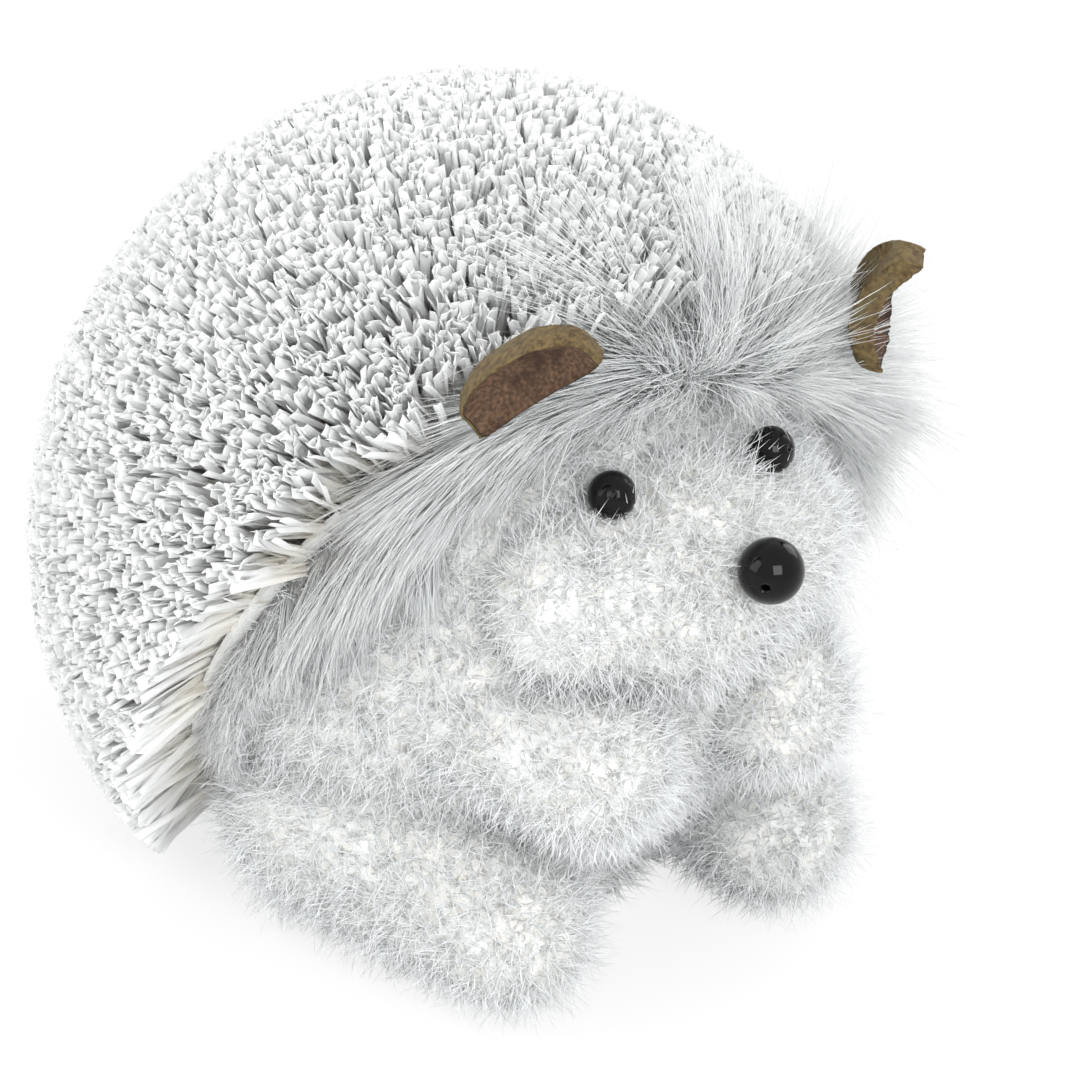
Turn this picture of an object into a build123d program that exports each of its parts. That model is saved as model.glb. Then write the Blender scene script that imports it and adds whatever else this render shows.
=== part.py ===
from build123d import *
import math
import os
import random

os.makedirs("parts", exist_ok=True)

# A sitting hedgehog figurine: foam forms under short fur, a coat of paper quills sewn to tapes in
# rings, a long-pile ruff at the edge of the coat, two seed-pod ears and three bored beads.
# Millimetres and degrees. The origin is on the table, under the middle of the body ball. The
# animal faces -Y, so its left side is +X.

# Body ball, its flat foot and the felt under it
ball_radius = 60.0
ball_rise = 6.0
foot_radius = 38.0
felt_thickness = 1.5
felt_margin = 1.0
body_fur_depth = 8.8

# Named clearances between pieces that are glued or sewn together
seat_gap = 0.2
tape_gap = 0.5
overrun = 5.0

# Coat of quills: its tilt and edge, its rings of tape and its strands
coat_tilt = 26.0
hood_offset = 11.0
belly_half_angle = 43.5
tape_thickness = 1.6
row_count = 11
crown_half_angle = 6.0
strand_pitch = 6.3
strand_width = 3.0
strand_taper = 1.4
coat_half_width = 87.0
coat_half_height = 91.0
strand_shorter = 2.6
strand_lean = 2.0
strand_wander = 0.9
crown_strands = 3
crown_strand_circle = 3.2

# Selvedge of the long-pile cloth, which stands at the edge of the coat, and its crescent of pile
selvedge_thickness = 1.2
selvedge_height = 9.0
selvedge_end_angle = 112.0
ruff_radius = 80.0
ruff_rise = 15.0
ruff_side_width = 10.0
ruff_wedge_angle = 8.0

# Head
head_middle_radius = 26.0
head_cheek_radius = 19.0
head_cheek_out = 22.5
head_sink = 8.0
head_lift = 17.0
head_fur_depth = 7.5

# Arms and legs: tapered, round at both ends, the upper end first
limb_fur_depth = 7.0
stand_depth = 0.5
arm_upper_radius = 15.0
arm_upper_sink = 16.0
arm_upper_forward = 24.0
arm_upper_drop = 5.0
arm_lower_radius = 16.5
arm_lower_out = 22.5
arm_lower_stand_out = 3.5
arm_lower_drop = 12.0
leg_upper_radius = 27.0
leg_upper_sink = 20.0
leg_upper_forward = 14.0
leg_lower_radius = 17.0
leg_lower_out = 33.5
leg_lower_sink = 6.0
leg_shift = 4.0

# Ears: slices of a dried pod, set on edge in the ruff
ear_length = 30.0
ear_height = 15.0
ear_shoulder = 5.0
ear_thickness = 5.0
ear_dish_depth = 2.2
ear_rim = 2.2
ear_place_shares = (0.456250, -0.655305, 0.581476)
ear_rise_shares = (0.50, 0.25, 0.83)
ear_face_shares = (0.65, -0.74, -0.18)

# Beads
eye_radius = 4.4
eye_bore = 1.3
eye_out = 19.0
eye_ahead = 5.5
eye_lift = 21.5
nose_radius = 6.0
nose_bore = 1.6
nose_ahead = 28.0
nose_lift = 12.0

# Places that follow from the sizes above: the head and the limbs are glued into hollows of the
# ball, the eyes and the nose are set in the head, and the ears' feet stand on the ruff's sphere
ball_height = ball_radius + ball_rise
head_forward = ball_radius - head_sink
head_height = ball_height + head_lift
arm_upper_out = ball_radius - arm_upper_sink
arm_upper_height = ball_height - arm_upper_drop
arm_lower_forward = ball_radius + arm_lower_stand_out
arm_lower_height = ball_height - arm_lower_drop
leg_upper_out = ball_radius - leg_upper_sink
leg_lower_forward = ball_radius - leg_lower_sink
eye_forward = head_forward + eye_ahead
eye_height = head_height + eye_lift
nose_forward = head_forward + nose_ahead
nose_height = head_height + nose_lift
ball_centre = Vector(0, 0, ball_height)
rear_pole = Vector(0, math.cos(math.radians(coat_tilt)), math.sin(math.radians(coat_tilt)))
coat_up = Vector(0, -rear_pole.Z, rear_pole.Y)
side = Vector(1, 0, 0)
coat_axis = Axis(ball_centre, rear_pole)
coat_section = Plane(origin=ball_centre, x_dir=rear_pole, z_dir=side)
hood_plane = Plane(origin=ball_centre - rear_pole * hood_offset, x_dir=side, z_dir=rear_pole)
pile_plane = hood_plane.offset(-selvedge_thickness - 2 * seat_gap)
body_fur_radius = ball_radius + body_fur_depth
room_radius = coat_half_height + 2 * body_fur_depth
tape_radius = ball_radius + seat_gap
head_centre = Vector(0, -head_forward, head_height)
ruff_centre = ball_centre + coat_up * ruff_rise
bore_direction = Vector(-0.6, -0.66, 0.45)


def save(piece, name):
    """Give the finished piece its name and write it to its own file."""
    piece.label = name
    export_step(piece, f"parts/{name}.step")


# Foam ball with a round foot, and the felt disc that it stands on

with BuildPart() as ball:
    with Locations(Plane(origin=ball_centre)):
        Sphere(ball_radius)
    with BuildSketch(Plane.XY.offset(felt_thickness)):
        Circle(foot_radius)
    extrude(amount=ball_height - ball_radius)
save(ball.part, "body_core")

with BuildPart() as felt:
    with BuildSketch(Plane.XY):
        Circle(foot_radius - felt_margin)
    extrude(amount=felt_thickness)
save(felt.part, "base_felt")


# The room that the coat takes: all behind the hood plane, outside a cone over the belly. Nothing
# else reaches into it.

with BuildPart() as coat_room:
    with BuildSketch(hood_plane.offset(-seat_gap)):
        Circle(room_radius)
    extrude(amount=room_radius)
    with Locations(Plane(origin=ball_centre)):
        Cone(
            bottom_radius=room_radius * math.tan(math.radians(belly_half_angle)),
            top_radius=0,
            height=room_radius,
            align=(Align.CENTER, Align.CENTER, Align.MAX),
            mode=Mode.SUBTRACT,
        )


# Head and limbs are first made as outer forms, grown by a clearance where they cut another piece

def round_form(start, along, stations, growth):
    """Balls in a row, given by their distance along and radius, wrapped in their tangent cones."""
    circles = [(place, radius + growth) for place, radius in stations]
    touches = [180.0]
    for (place, radius), (next_place, next_radius) in zip(circles, circles[1:]):
        slope = math.degrees(math.asin((radius - next_radius) / (next_place - place)))
        touches.append(90 - slope)
    touches.append(0.0)
    with BuildPart() as form:
        with BuildSketch(Plane(origin=start, x_dir=along, z_dir=along.cross(Vector(0, 0, 1)))):
            with BuildLine():
                arcs = [
                    CenterArc((place, 0), radius, low, high - low)
                    for (place, radius), high, low in zip(circles, touches, touches[1:])
                ]
                for arc, next_arc in zip(arcs, arcs[1:]):
                    Line(arc @ 0, next_arc @ 1)
                Line(arcs[0] @ 1, arcs[-1] @ 0)
            make_face()
        revolve(axis=Axis(start, along))
    return form.part


def head_form(growth):
    """A wide ball, drawn in to a smaller ball at each cheek."""
    cheeks = ((-head_cheek_out, head_cheek_radius), (head_cheek_out, head_cheek_radius))
    stations = (cheeks[0], (0, head_middle_radius), cheeks[1])
    return round_form(head_centre, side, stations, growth)


def limb_form(upper, upper_radius, lower, lower_radius, growth):
    """A limb that tapers between its two round ends."""
    stations = ((0, upper_radius), ((lower - upper).length, lower_radius))
    return round_form(upper, (lower - upper).normalized(), stations, growth)


def arm_form(hand, growth):
    """The arm on one side: hand is -1 for the right and 1 for the left."""
    upper = Vector(hand * arm_upper_out, -arm_upper_forward, arm_upper_height)
    lower = Vector(hand * arm_lower_out, -arm_lower_forward, arm_lower_height)
    return limb_form(upper, arm_upper_radius, lower, arm_lower_radius, growth)


def leg_form(hand, growth):
    """The leg on one side, sunk a little so that its underside is flat."""
    upper = Vector(
        hand * leg_upper_out + leg_shift, -leg_upper_forward, leg_upper_radius - stand_depth
    )
    lower = Vector(
        hand * leg_lower_out + leg_shift, -leg_lower_forward, leg_lower_radius - stand_depth
    )
    return limb_form(upper, leg_upper_radius, lower, leg_lower_radius, growth)


def ear_plane(hand):
    """The foot of an ear: X runs along it, Y up the slice and Z out of its hollow face."""
    rise = Vector(hand * ear_rise_shares[0], ear_rise_shares[1], ear_rise_shares[2]).normalized()
    face = Vector(hand * ear_face_shares[0], ear_face_shares[1], ear_face_shares[2]).normalized()
    out_share, along_share, up_share = ear_place_shares
    foot = ruff_centre + Vector(hand * out_share, along_share, up_share) * ruff_radius
    return Plane(origin=foot, x_dir=rise.cross(face), z_dir=face)


def ear_blank(hand, growth):
    """A slice with a straight foot, short upright ends and an arched top."""
    half = ear_length / 2 + growth
    shoulder = ear_shoulder + growth
    top = ear_height + growth
    with BuildPart() as blank:
        with BuildSketch(ear_plane(hand)):
            with BuildLine():
                foot = Line((-half, -growth), (half, -growth))
                outer = Line(foot @ 1, (half, shoulder))
                arch = ThreePointArc(outer @ 1, (0, top), (-half, shoulder))
                Line(arch @ 1, foot @ 0)
            make_face()
        extrude(amount=ear_thickness / 2 + growth, both=True)
    return blank.part


def bead(place, radius, bore):
    """A round bead with a bore through its middle."""
    with BuildPart() as form:
        with Locations(Plane(origin=place, z_dir=bore_direction)):
            Sphere(radius)
            Cylinder(bore / 2, 2 * radius + overrun, mode=Mode.SUBTRACT)
    return form.part


head_room = head_form(seat_gap)
arm_rooms = {hand: arm_form(hand, seat_gap) for hand in (-1, 1)}
leg_rooms = {hand: leg_form(hand, seat_gap) for hand in (-1, 1)}
side_names = {-1: "right", 1: "left"}

eye_places = {hand: Vector(hand * eye_out, -eye_forward, eye_height) for hand in (-1, 1)}
nose_place = Vector(0, -nose_forward, nose_height)


# Short fur of the body: a shell round the ball where the coat, the head and the limbs leave it
# bare. The haunches part it in two, the front and a band under the rump.

with BuildPart() as body_fur:
    with Locations(Plane(origin=ball_centre)):
        Sphere(body_fur_radius)
        Sphere(ball_radius + seat_gap, mode=Mode.SUBTRACT)
    with BuildSketch(Plane.XY.offset(-overrun)):
        Circle(foot_radius + seat_gap)
    extrude(amount=ball_height + overrun, mode=Mode.SUBTRACT)
    add(coat_room.part, mode=Mode.SUBTRACT)
    add(head_room, mode=Mode.SUBTRACT)
    add(list(arm_rooms.values()), mode=Mode.SUBTRACT)
    add(list(leg_rooms.values()), mode=Mode.SUBTRACT)
    with BuildSketch(hood_plane):
        Circle(ball_radius + selvedge_height + seat_gap)
    extrude(amount=-selvedge_thickness - 2 * seat_gap, mode=Mode.SUBTRACT)
    with Locations(Plane(origin=eye_places[-1]), Plane(origin=eye_places[1])):
        Sphere(eye_radius + seat_gap, mode=Mode.SUBTRACT)
body_fur_pieces = body_fur.part.solids().sort_by(SortBy.VOLUME)
save(body_fur_pieces[-1], "body_fur")
save(body_fur_pieces[-2], "rump_fur")


# Head: a foam form glued to the ball, its short fur, and seats in the fur for the beads

with BuildPart() as head_core:
    add(head_form(-head_fur_depth))
    with Locations(Plane(origin=ball_centre)):
        Sphere(ball_radius + seat_gap, mode=Mode.SUBTRACT)
save(head_core.part, "head_core")

with BuildPart() as head_fur:
    add(head_form(0))
    add(head_form(seat_gap - head_fur_depth), mode=Mode.SUBTRACT)
    with Locations(Plane(origin=ball_centre)):
        Sphere(ball_radius + seat_gap, mode=Mode.SUBTRACT)
    with Locations(Plane(origin=eye_places[-1]), Plane(origin=eye_places[1])):
        Sphere(eye_radius + seat_gap, mode=Mode.SUBTRACT)
    with Locations(Plane(origin=nose_place)):
        Sphere(nose_radius + seat_gap, mode=Mode.SUBTRACT)
save(head_fur.part, "head_fur")

for hand, name in side_names.items():
    save(bead(eye_places[hand], eye_radius, eye_bore), f"{name}_eye")
save(bead(nose_place, nose_radius, nose_bore), "nose")


# Legs and arms: a foam form glued to the ball inside a sleeve of short fur. The larger form cuts
# the smaller one: the head and the legs cut the arms.

for hand, name in side_names.items():
    with BuildPart() as leg_core:
        add(leg_form(hand, -limb_fur_depth))
        with Locations(Plane(origin=ball_centre)):
            Sphere(ball_radius + seat_gap, mode=Mode.SUBTRACT)
        with BuildSketch(Plane.XY):
            Circle(foot_radius + seat_gap)
        extrude(amount=ball_height, mode=Mode.SUBTRACT)
    save(leg_core.part.solids().sort_by(SortBy.VOLUME)[-1], f"{name}_leg_core")

    with BuildPart() as leg_fur:
        add(leg_form(hand, 0))
        add(leg_form(hand, seat_gap - limb_fur_depth), mode=Mode.SUBTRACT)
        with Locations(Plane(origin=ball_centre)):
            Sphere(ball_radius + seat_gap, mode=Mode.SUBTRACT)
        with BuildSketch(Plane.XY.offset(-overrun)):
            Circle(foot_radius + seat_gap)
        extrude(amount=ball_height + overrun, mode=Mode.SUBTRACT)
        add(coat_room.part, mode=Mode.SUBTRACT)
        with BuildSketch(Plane.XY):
            Circle(room_radius)
        extrude(amount=-overrun, mode=Mode.SUBTRACT)
    save(leg_fur.part.solids().sort_by(SortBy.VOLUME)[-1], f"{name}_leg_fur")

    with BuildPart() as arm_core:
        add(arm_form(hand, -limb_fur_depth))
        with Locations(Plane(origin=ball_centre)):
            Sphere(ball_radius + seat_gap, mode=Mode.SUBTRACT)
        add(head_room, mode=Mode.SUBTRACT)
    save(arm_core.part.solids().sort_by(SortBy.VOLUME)[-1], f"{name}_arm_core")

    with BuildPart() as arm_fur:
        add(arm_form(hand, 0))
        add(arm_form(hand, seat_gap - limb_fur_depth), mode=Mode.SUBTRACT)
        with Locations(Plane(origin=ball_centre)):
            Sphere(ball_radius + seat_gap, mode=Mode.SUBTRACT)
        add(leg_rooms[hand], mode=Mode.SUBTRACT)
        add(head_room, mode=Mode.SUBTRACT)
        add(coat_room.part, mode=Mode.SUBTRACT)
    save(arm_fur.part.solids().sort_by(SortBy.VOLUME)[-1], f"{name}_arm_fur")


# Coat of quills: rings of tape round the coat's own axis, each with its strands. A strand stands
# square on the ball, four-sided and tapering, and ends on the coat's outer form.

def strand_direction(polar, turn):
    """The way out from the ball's middle at a polar angle from the rear pole and a turn round it."""
    across = side * math.sin(math.radians(turn)) + coat_up * math.cos(math.radians(turn))
    return rear_pole * math.cos(math.radians(polar)) + across * math.sin(math.radians(polar))


def clear_of_belly(direction):
    """True where a strand stands outside the bare cone over the belly."""
    margin = math.degrees(math.atan(strand_width / tape_radius))
    return direction.get_angle(Vector(0, 0, -1)) > belly_half_angle + margin


def strand(direction, draw):
    """One strand from inside the tape to the coat's outer form, leaning and shortened by chance."""
    reach = 1 / math.sqrt(
        (direction.X / coat_half_width) ** 2
        + (direction.Y / coat_half_width) ** 2
        + (direction.Z / coat_half_height) ** 2
    )
    root = tape_radius + tape_thickness / 3
    lean = math.tan(math.radians(strand_lean))
    astray = Vector(draw.uniform(-lean, lean), draw.uniform(-lean, lean), draw.uniform(-lean, lean))
    heading = (direction + astray).normalized()
    turned = Vector(draw.uniform(-1, 1), draw.uniform(-1, 1), draw.uniform(-1, 1))
    with BuildPart() as spike:
        with BuildSketch(
            Plane(origin=ball_centre + direction * root, x_dir=heading.cross(turned), z_dir=heading)
        ):
            Rectangle(strand_width, strand_width)
        extrude(amount=reach - root - draw.uniform(0, strand_shorter), taper=strand_taper)
    return spike.part


hood_angle = math.degrees(math.acos(-hood_offset / (tape_radius + tape_thickness)))
row_angle = (hood_angle - crown_half_angle) / row_count
tape_width = 2 * tape_radius * math.tan(math.radians(row_angle / 2)) - tape_gap
wander_angle = math.degrees(strand_wander / tape_radius)
chance = random.Random(11)
strand_total = 0

for row in range(row_count):
    polar = hood_angle - row_angle * (row + 0.5)
    around = 2 * math.pi * tape_radius * math.sin(math.radians(polar))
    count = round(around / strand_pitch)
    spikes = []
    for place in range(count):
        turn = 360 * (place + row / 2) / count
        turn += chance.uniform(-wander_angle, wander_angle) / math.sin(math.radians(polar))
        direction = strand_direction(polar + chance.uniform(-wander_angle, wander_angle), turn)
        if clear_of_belly(direction):
            spikes.append(strand(direction, chance))
    strand_total += len(spikes)
    middle = tape_radius + tape_thickness / 2
    with BuildPart() as quill_row:
        with BuildSketch(coat_section):
            with Locations(
                (middle * math.cos(math.radians(polar)), middle * math.sin(math.radians(polar)))
            ):
                Rectangle(tape_thickness, tape_width, rotation=polar)
        revolve(axis=coat_axis)
        with Locations(Plane(origin=ball_centre)):
            Cone(
                bottom_radius=room_radius * math.tan(math.radians(belly_half_angle)),
                top_radius=0,
                height=room_radius,
                align=(Align.CENTER, Align.CENTER, Align.MAX),
                mode=Mode.SUBTRACT,
            )
        add(spikes)
    save(quill_row.part, f"quill_row_{row + 1:02d}")

crown_spikes = []
for place in range(crown_strands):
    crown_polar = math.degrees(crown_strand_circle / tape_radius)
    crown_spikes.append(strand(strand_direction(crown_polar, 360 * place / crown_strands), chance))
strand_total += crown_strands
with BuildPart() as crown:
    with BuildSketch(Plane(origin=ball_centre + rear_pole * tape_radius, x_dir=side, z_dir=rear_pole)):
        Circle(tape_radius * math.tan(math.radians(crown_half_angle)) - tape_gap)
    extrude(amount=tape_thickness)
    add(crown_spikes)
save(crown.part, "quill_crown")
print("strands", strand_total)


# Selvedge: the woven edge of the long-pile cloth, standing at the front of the coat

with BuildPart() as selvedge:
    with BuildSketch(hood_plane.offset(-seat_gap)):
        Circle(ball_radius + selvedge_height)
        Circle(ball_radius + seat_gap, mode=Mode.SUBTRACT)
    extrude(amount=-selvedge_thickness)
    add(head_room, mode=Mode.SUBTRACT)
    add(list(arm_rooms.values()), mode=Mode.SUBTRACT)
    add(list(leg_rooms.values()), mode=Mode.SUBTRACT)
    with Locations(Plane(origin=ball_centre)):
        Cone(
            bottom_radius=room_radius * math.tan(math.radians(180 - selvedge_end_angle)),
            top_radius=0,
            height=room_radius,
            align=(Align.CENTER, Align.CENTER, Align.MAX),
            mode=Mode.SUBTRACT,
        )
save(selvedge.part.solids().sort_by(SortBy.VOLUME)[-1], "ruff_selvedge")


# Ruff: a crescent of long pile, thick over the forehead and thin at the flanks. It is the part of
# a raised ball between the pile plane and a second plane that opens upwards.

with BuildPart() as ruff:
    with Locations(Plane(origin=ruff_centre)):
        Sphere(ruff_radius)
    with BuildSketch(pile_plane):
        Circle(2 * room_radius)
    extrude(amount=2 * room_radius, mode=Mode.SUBTRACT)
    with BuildSketch(
        Plane(
            origin=pile_plane.origin - rear_pole * ruff_side_width,
            x_dir=side,
            z_dir=rear_pole.rotate(Axis.X, ruff_wedge_angle),
        )
    ):
        Circle(2 * room_radius)
    extrude(amount=-2 * room_radius, mode=Mode.SUBTRACT)
    with Locations(Plane(origin=ball_centre)):
        Sphere(body_fur_radius + seat_gap, mode=Mode.SUBTRACT)
    add(head_room, mode=Mode.SUBTRACT)
    add(list(arm_rooms.values()), mode=Mode.SUBTRACT)
    add(list(leg_rooms.values()), mode=Mode.SUBTRACT)
    add([ear_blank(hand, seat_gap) for hand in (-1, 1)], mode=Mode.SUBTRACT)
    with Locations(Plane(origin=eye_places[-1]), Plane(origin=eye_places[1])):
        Sphere(eye_radius + seat_gap, mode=Mode.SUBTRACT)
save(ruff.part.solids().sort_by(SortBy.VOLUME)[-1], "ruff_fur")


# Ears: the slice with a hollow in its front face, as wide as the face inside its rim

for hand, name in side_names.items():
    hollow_width = ear_length / 2 - ear_rim
    hollow_radius = (hollow_width ** 2 + ear_dish_depth ** 2) / (2 * ear_dish_depth)
    front = ear_plane(hand).offset(ear_thickness / 2)
    with BuildPart() as ear:
        add(ear_blank(hand, 0))
        with Locations(front.offset(hollow_radius - ear_dish_depth)):
            Sphere(hollow_radius, mode=Mode.SUBTRACT)
    save(ear.part, f"{name}_ear")
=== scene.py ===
import math

import bpy
import numpy as np
from mathutils import Matrix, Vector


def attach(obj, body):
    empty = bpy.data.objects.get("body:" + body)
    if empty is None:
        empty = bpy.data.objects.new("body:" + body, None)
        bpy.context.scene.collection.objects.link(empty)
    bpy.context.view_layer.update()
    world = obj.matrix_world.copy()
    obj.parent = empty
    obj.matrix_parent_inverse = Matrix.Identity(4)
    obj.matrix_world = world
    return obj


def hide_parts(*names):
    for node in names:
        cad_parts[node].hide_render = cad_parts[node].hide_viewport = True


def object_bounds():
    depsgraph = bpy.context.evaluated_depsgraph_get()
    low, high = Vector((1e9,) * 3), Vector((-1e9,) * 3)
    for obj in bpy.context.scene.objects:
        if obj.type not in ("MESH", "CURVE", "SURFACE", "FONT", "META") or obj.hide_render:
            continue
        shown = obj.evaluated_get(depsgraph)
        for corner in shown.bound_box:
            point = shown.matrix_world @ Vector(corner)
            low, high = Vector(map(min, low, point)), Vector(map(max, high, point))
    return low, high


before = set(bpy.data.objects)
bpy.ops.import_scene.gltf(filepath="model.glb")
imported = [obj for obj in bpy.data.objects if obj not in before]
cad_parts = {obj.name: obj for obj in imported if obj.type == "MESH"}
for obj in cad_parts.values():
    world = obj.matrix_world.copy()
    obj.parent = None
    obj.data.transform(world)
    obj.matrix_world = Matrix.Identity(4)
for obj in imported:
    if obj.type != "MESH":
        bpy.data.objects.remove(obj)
cad_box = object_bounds()


# The picture. The camera looks down on the animal's right cheek from 0.7 m, tipped a little, through
# a long lens. The table and the background are white and keep a faint shadow.

view_turn = math.radians(-41.8)
view_height = math.radians(27.1)
view_roll = math.radians(6.0)
view_distance = 0.700
view_lens = 116.67
view_target = np.array([0.0207, 0.0045, 0.0570])
table_half_width = 3.0
shadow_share = 0.22
world_strength = 0.92


def looking(turn, height):
    """The way from the target to a viewer: turn is about Z from -Y, height is above the table."""
    level = math.cos(height)
    return np.array([math.sin(turn) * level, -math.cos(turn) * level, math.sin(height)])


backward = looking(view_turn, view_height)
rightward = np.array([math.cos(view_turn), math.sin(view_turn), 0.0])
upward = np.cross(backward, rightward)
tipped_right = rightward * math.cos(view_roll) + upward * math.sin(view_roll)
tipped_up = upward * math.cos(view_roll) - rightward * math.sin(view_roll)
camera = bpy.data.objects.new("camera", bpy.data.cameras.new("camera"))
camera.data.lens = view_lens
turned = Matrix(np.stack([tipped_right, tipped_up, backward], axis=1).tolist()).to_4x4()
camera.matrix_world = Matrix.Translation((view_target + backward * view_distance).tolist()) @ turned
bpy.context.scene.collection.objects.link(camera)
bpy.context.scene.camera = camera
bpy.context.scene.view_settings.view_transform = "Standard"


class Value:
    """A number socket of a material. The multiplication sign adds a Math node."""

    def __init__(self, look, socket):
        self.look = look
        self.socket = socket

    def maths(self, operation, *others):
        """One Math node on this value and the others."""
        node = self.look.node("ShaderNodeMath", {"operation": operation}, [self, *others])
        return Value(self.look, node.outputs[0])

    def __mul__(self, other):
        return self.maths("MULTIPLY", other)

    __rmul__ = __mul__

    def between(self, low, high):
        """0 below low, 1 above high and a smooth rise from one to the other."""
        node = self.look.node(
            "ShaderNodeMapRange",
            {"interpolation_type": "SMOOTHSTEP"},
            {"Value": self, "From Min": low, "From Max": high},
        )
        return Value(self.look, node.outputs["Result"])


class Look:
    """A material in the making: its nodes and its Principled shader."""

    def __init__(self, name, **constants):
        self.material = bpy.data.materials.new(name)
        self.material.use_nodes = True
        self.tree = self.material.node_tree
        self.shader = self.tree.nodes["Principled BSDF"]
        self.output = self.tree.nodes["Material Output"]
        for socket, value in constants.items():
            self.shader.inputs[socket.replace("_", " ")].default_value = value

    def feed(self, socket, value):
        """Sets an input socket, or links it to a value or to another socket."""
        if isinstance(value, Value):
            self.tree.links.new(value.socket, socket)
        elif isinstance(value, bpy.types.NodeSocket):
            self.tree.links.new(value, socket)
        else:
            socket.default_value = value

    def node(self, kind, settings=None, sockets=None):
        """A node of this kind, with its settings first and then its sockets, by name or in order."""
        node = self.tree.nodes.new(kind)
        for name, value in (settings or {}).items():
            setattr(node, name, value)
        named = sockets.items() if isinstance(sockets, dict) else enumerate(sockets or [])
        for key, value in named:
            self.feed(node.inputs[key], value)
        return node

    def mix(self, share, first, second):
        """A colour that goes from the first to the second as the share goes from 0 to 1."""
        node = self.node("ShaderNodeMix", {"data_type": "RGBA"})
        self.feed(node.inputs["Factor"], share)
        for name, colour in (("A", first), ("B", second)):
            socket = [s for s in node.inputs if s.name == name and s.type == "RGBA"][0]
            self.feed(socket, (*colour, 1) if isinstance(colour, tuple) else colour)
        return [s for s in node.outputs if s.type == "RGBA"][0]

    def noise(self, scale, detail, stretch=(1, 1, 1)):
        """Noise over the object's own coordinates, in patches of one metre over the scale."""
        vector = self.node("ShaderNodeTexCoord").outputs["Object"]
        if stretch != (1, 1, 1):
            vector = self.node("ShaderNodeMapping", None, {"Vector": vector, "Scale": stretch}).outputs[0]
        node = self.node("ShaderNodeTexNoise", None, {"Vector": vector, "Scale": scale, "Detail": detail})
        return Value(self, node.outputs["Fac"])

    def bump(self, height, distance):
        """Bumps of this many metres on the Principled shader."""
        node = self.node("ShaderNodeBump", None, {"Height": height, "Distance": distance})
        self.feed(self.shader.inputs["Normal"], node.outputs["Normal"])

    def colour(self, value):
        """Feeds the base colour of the Principled shader."""
        self.feed(self.shader.inputs["Base Color"], value)


def mesh_object(name, points, polygons, material, smooth=True):
    """A mesh object at the origin. points is (..., 3); polygons is a list of whole index arrays."""
    mesh = bpy.data.meshes.new(name)
    points = np.asarray(points, np.float32).reshape(-1, 3)
    corners = np.concatenate([p.reshape(-1) for p in polygons]).astype(np.int32)
    sizes = np.concatenate([np.full(p.reshape(-1, p.shape[-1]).shape[0], p.shape[-1]) for p in polygons])
    starts = np.concatenate([[0], np.cumsum(sizes)[:-1]]).astype(np.int32)
    mesh.vertices.add(len(points))
    mesh.vertices.foreach_set("co", points.ravel())
    mesh.loops.add(len(corners))
    mesh.loops.foreach_set("vertex_index", corners)
    mesh.polygons.add(len(sizes))
    mesh.polygons.foreach_set("loop_start", starts)
    mesh.polygons.foreach_set("use_smooth", np.full(len(sizes), smooth))
    mesh.update()
    mesh.validate()
    mesh.materials.append(material)
    made = bpy.data.objects.new(name, mesh)
    bpy.context.scene.collection.objects.link(made)
    return made


def area_lamp(name, turn, height, distance, width, power):
    """A square soft box that faces the animal from a turn and a height."""
    lamp = bpy.data.objects.new(name, bpy.data.lights.new(name, "AREA"))
    lamp.data.shape = "SQUARE"
    lamp.data.size = width
    lamp.data.energy = power
    away = looking(math.radians(turn), math.radians(height))
    across = np.array([math.cos(math.radians(turn)), math.sin(math.radians(turn)), 0.0])
    facing = Matrix(np.stack([across, np.cross(away, across), away], axis=1).tolist()).to_4x4()
    lamp.matrix_world = Matrix.Translation((view_target + away * distance).tolist()) @ facing
    bpy.context.scene.collection.objects.link(lamp)


area_lamp("key_lamp", -20.0, 30.0, 1.2, 0.6, 7.5)
area_lamp("fill_lamp", -110.0, 25.0, 1.2, 0.8, 4.8)
area_lamp("left_lamp", 95.0, 30.0, 1.3, 0.7, 3.2)
area_lamp("rear_lamp", 175.0, 25.0, 1.3, 0.7, 3.6)

world = bpy.data.worlds.new("studio")
bpy.context.scene.world = world
world.use_nodes = True
sky = world.node_tree.nodes["Background"]
sky_lit = world.node_tree.nodes.new("ShaderNodeMapRange")
rays = world.node_tree.nodes.new("ShaderNodeLightPath")
sky_lit.inputs["To Min"].default_value = world_strength
sky_lit.inputs["To Max"].default_value = 1.0
world.node_tree.links.new(rays.outputs["Is Camera Ray"], sky_lit.inputs["Value"])
world.node_tree.links.new(sky_lit.outputs["Result"], sky.inputs["Strength"])
sky.inputs["Color"].default_value = (1, 1, 1, 1)

table_look = Look("table_white", Base_Color=(0.9, 0.9, 0.9, 1), Roughness=0.9, Specular_IOR_Level=0.1)
seen = table_look.node("ShaderNodeLightPath")
drawn = Value(table_look, seen.outputs["Is Camera Ray"]).maths("MAXIMUM", seen.outputs["Is Glossy Ray"])
drawn = drawn.maths("MAXIMUM", seen.outputs["Is Transmission Ray"])
glow = table_look.node("ShaderNodeEmission", None, {"Color": (1, 1, 1, 1)})
blended = table_look.node(
    "ShaderNodeMixShader",
    None,
    [drawn * (1 - shadow_share), table_look.shader.outputs[0], glow.outputs[0]],
)
table_look.feed(table_look.output.inputs["Surface"], blended.outputs[0])
table_corners = table_half_width * np.array([[-1, -1, 0], [1, -1, 0], [1, 1, 0], [-1, 1, 0]])
table = mesh_object("table", table_corners, [np.arange(4)[None]], table_look.material, smooth=False)


# The foam forms and the felt. The ball and the smaller forms are moulded foam, which only shows
# deep in the pile. A felt disc is glued under the ball's foot.

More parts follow.
